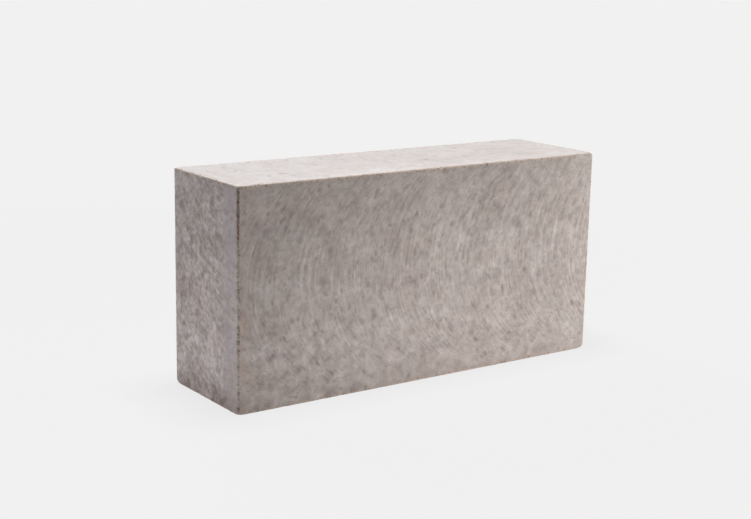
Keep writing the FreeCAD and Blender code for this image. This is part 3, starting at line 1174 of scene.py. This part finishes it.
def make_camera(studio):
    """The camera of the reference view."""
    data = bpy.data.cameras.new("reference_camera")
    data.sensor_width = SENSOR_WIDTH
    data.lens = studio.lens
    camera = bpy.data.objects.new("reference_camera", data)
    aim = Euler((radians(90) - studio.elevation, 0, studio.azimuth)).to_matrix()
    lean = Matrix.Rotation(studio.roll, 3, "Z")
    camera.rotation_euler = (aim @ lean).to_euler()
    camera.location = studio.camera_place
    bpy.context.scene.collection.objects.link(camera)
    bpy.context.scene.camera = camera


# Operators, panel and registration


class FIREBRICK_OT_brick(bpy.types.Operator):
    """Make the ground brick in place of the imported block"""

    bl_idname = "firebrick.brick"
    bl_label = "Make Ground Brick"

    def execute(self, context):
        shape = context.scene.firebrick_shape
        finish = context.scene.firebrick_finish
        pitches = (shape.pitch_along, shape.pitch_through, shape.pitch_up)
        lines = [mesh_lines(*ends) for ends in zip(BRICK_LOW, BRICK_HIGH, pitches)]
        lattice, faces, sides = block_lattice(lines)
        points, marks = brick_points(lattice, faces, shape)
        mesh = make_mesh("ground_brick", points, faces)
        add_marks(mesh, marks)
        for name, kind in (("ground_bed", BED), ("ground_end", END), ("ground_edge", EDGE)):
            mesh.materials.append(ground_finish(name, kind, shape, finish))
        mesh.polygons.foreach_set("material_index", [KIND_OF_SIDE[side] for side in sides])
        brick = bpy.data.objects.new("ground_brick", mesh)
        context.scene.collection.objects.link(brick)
        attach(brick, "root")
        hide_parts(NODE)
        return {"FINISHED"}


class FIREBRICK_OT_studio(bpy.types.Operator):
    """Set up the floor, the lamps and the camera"""

    bl_idname = "firebrick.studio"
    bl_label = "Set Up Studio"

    def execute(self, context):
        studio = context.scene.firebrick_studio
        context.scene.view_settings.view_transform = "Standard"
        make_floor(studio)
        make_world(studio)
        receivers = bpy.data.collections.new("brick_alone")
        receivers.objects.link(bpy.data.objects["ground_brick"])
        for name, (place, size, rgb, brick_alone) in LAMPS.items():
            lights_only = receivers if brick_alone else None
            make_lamp(name + "_lamp", place, size, power_of(name, studio), rgb, lights_only)
        make_camera(studio)
        return {"FINISHED"}


class FIREBRICK_PT_sidebar(bpy.types.Panel):
    """The brick's settings and steps"""

    bl_idname = "FIREBRICK_PT_sidebar"
    bl_label = "Ground Firebrick"
    bl_space_type = "VIEW_3D"
    bl_region_type = "UI"
    bl_category = "Firebrick"

    def draw(self, context):
        """Lists each step with its settings."""
        for step, settings in (
            (FIREBRICK_OT_brick, (context.scene.firebrick_shape, context.scene.firebrick_finish)),
            (FIREBRICK_OT_studio, (context.scene.firebrick_studio,)),
        ):
            box = self.layout.box()
            box.operator(step.bl_idname)
            for group in settings:
                for name in group.__annotations__:
                    box.prop(group, name)


CLASSES = (BrickShape, BrickFinish, Studio, FIREBRICK_OT_brick, FIREBRICK_OT_studio, FIREBRICK_PT_sidebar)
SETTINGS = {"firebrick_shape": BrickShape, "firebrick_finish": BrickFinish, "firebrick_studio": Studio}


def register():
    """Registers the classes and gives each scene its settings."""
    for each in CLASSES:
        bpy.utils.register_class(each)
    for name, group in SETTINGS.items():
        setattr(bpy.types.Scene, name, PointerProperty(type=group))


def unregister():
    """Takes the settings and the classes away again."""
    for name in SETTINGS:
        delattr(bpy.types.Scene, name)
    for each in reversed(CLASSES):
        bpy.utils.unregister_class(each)


def main():
    """Makes the brick and its studio."""
    register()
    bpy.ops.firebrick.brick()
    bpy.ops.firebrick.studio()


if __name__ == "__main__":
    main()
